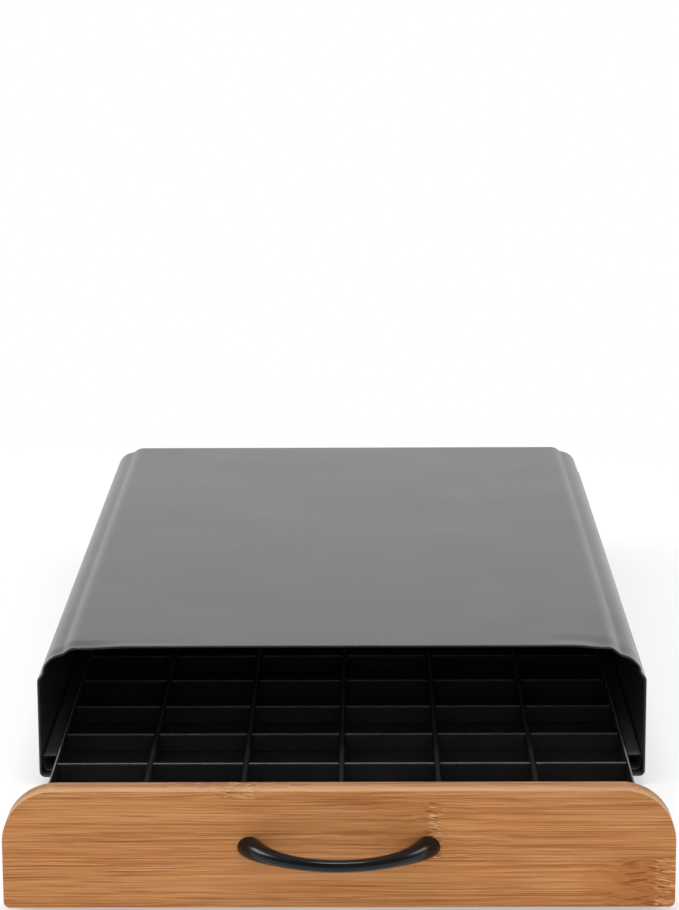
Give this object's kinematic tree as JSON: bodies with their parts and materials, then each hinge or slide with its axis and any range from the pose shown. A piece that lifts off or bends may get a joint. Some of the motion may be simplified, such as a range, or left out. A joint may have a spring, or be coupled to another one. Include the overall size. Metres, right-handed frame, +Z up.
{
  "type": "coffee pod drawer",
  "caption": "Low black steel housing for under a coffee machine, with a sliding capsule drawer divided into square cells, a bamboo front with rounded corners and an arched pull.",
  "frame": {"origin": "on the surface that the feet stand on, under the middle of the overall box with the drawer open 140 mm", "axes": "+X to the right seen from the front, +Y to the back, +Z up; the drawer slides out along -Y"},
  "size_m": [0.2622, 0.5758, 0.0626],
  "materials": {
    "housing_paint": "semi-gloss black paint",
    "drawer_paint": "satin black paint",
    "inner_paint": "satin black paint",
    "rivet_black": "black rivet",
    "zinc_steel": "bright zinc plate",
    "handle_black": "satin black",
    "bamboo": "satin lacquered bamboo, grain along the width",
    "rubber": "matte",
    "nylon": "smooth moulded nylon"
  },
  "bodies": {
    "housing": {"housing_shell": "housing_paint", "back_panel": "housing_paint", "side_rivets": "rivet_black", "runner_left": "inner_paint", "runner_right": "inner_paint", "front_brace": "inner_paint", "rear_brace": "inner_paint", "foot_front_left": "rubber", "foot_front_right": "rubber", "foot_rear_left": "rubber", "foot_rear_right": "rubber", "foot_rivets": "zinc_steel", "front_glide_left": "nylon", "front_glide_right": "nylon"},
    "drawer": {"drawer_pan": "drawer_paint", "pan_front_plate": "drawer_paint", "pan_back_plate": "drawer_paint", "rear_glide_left": "nylon", "rear_glide_right": "nylon", "long_divider_1": "drawer_paint", "long_divider_2": "drawer_paint", "long_divider_3": "drawer_paint", "long_divider_4": "drawer_paint", "long_divider_5": "drawer_paint", "cross_divider_1": "drawer_paint", "cross_divider_2": "drawer_paint", "cross_divider_3": "drawer_paint", "cross_divider_4": "drawer_paint", "cross_divider_5": "drawer_paint", "cross_divider_6": "drawer_paint", "cross_divider_7": "drawer_paint", "cross_divider_8": "drawer_paint", "bamboo_front": "bamboo", "front_screws": "zinc_steel", "handle": "handle_black", "handle_screws": "zinc_steel"}
  },
  "joints": [
    {"name": "drawer_slide", "type": "slide", "parent": "housing", "child": "drawer", "axis": [0, -1, 0], "range_m": [-0.14, 0.1464]}
  ]
}
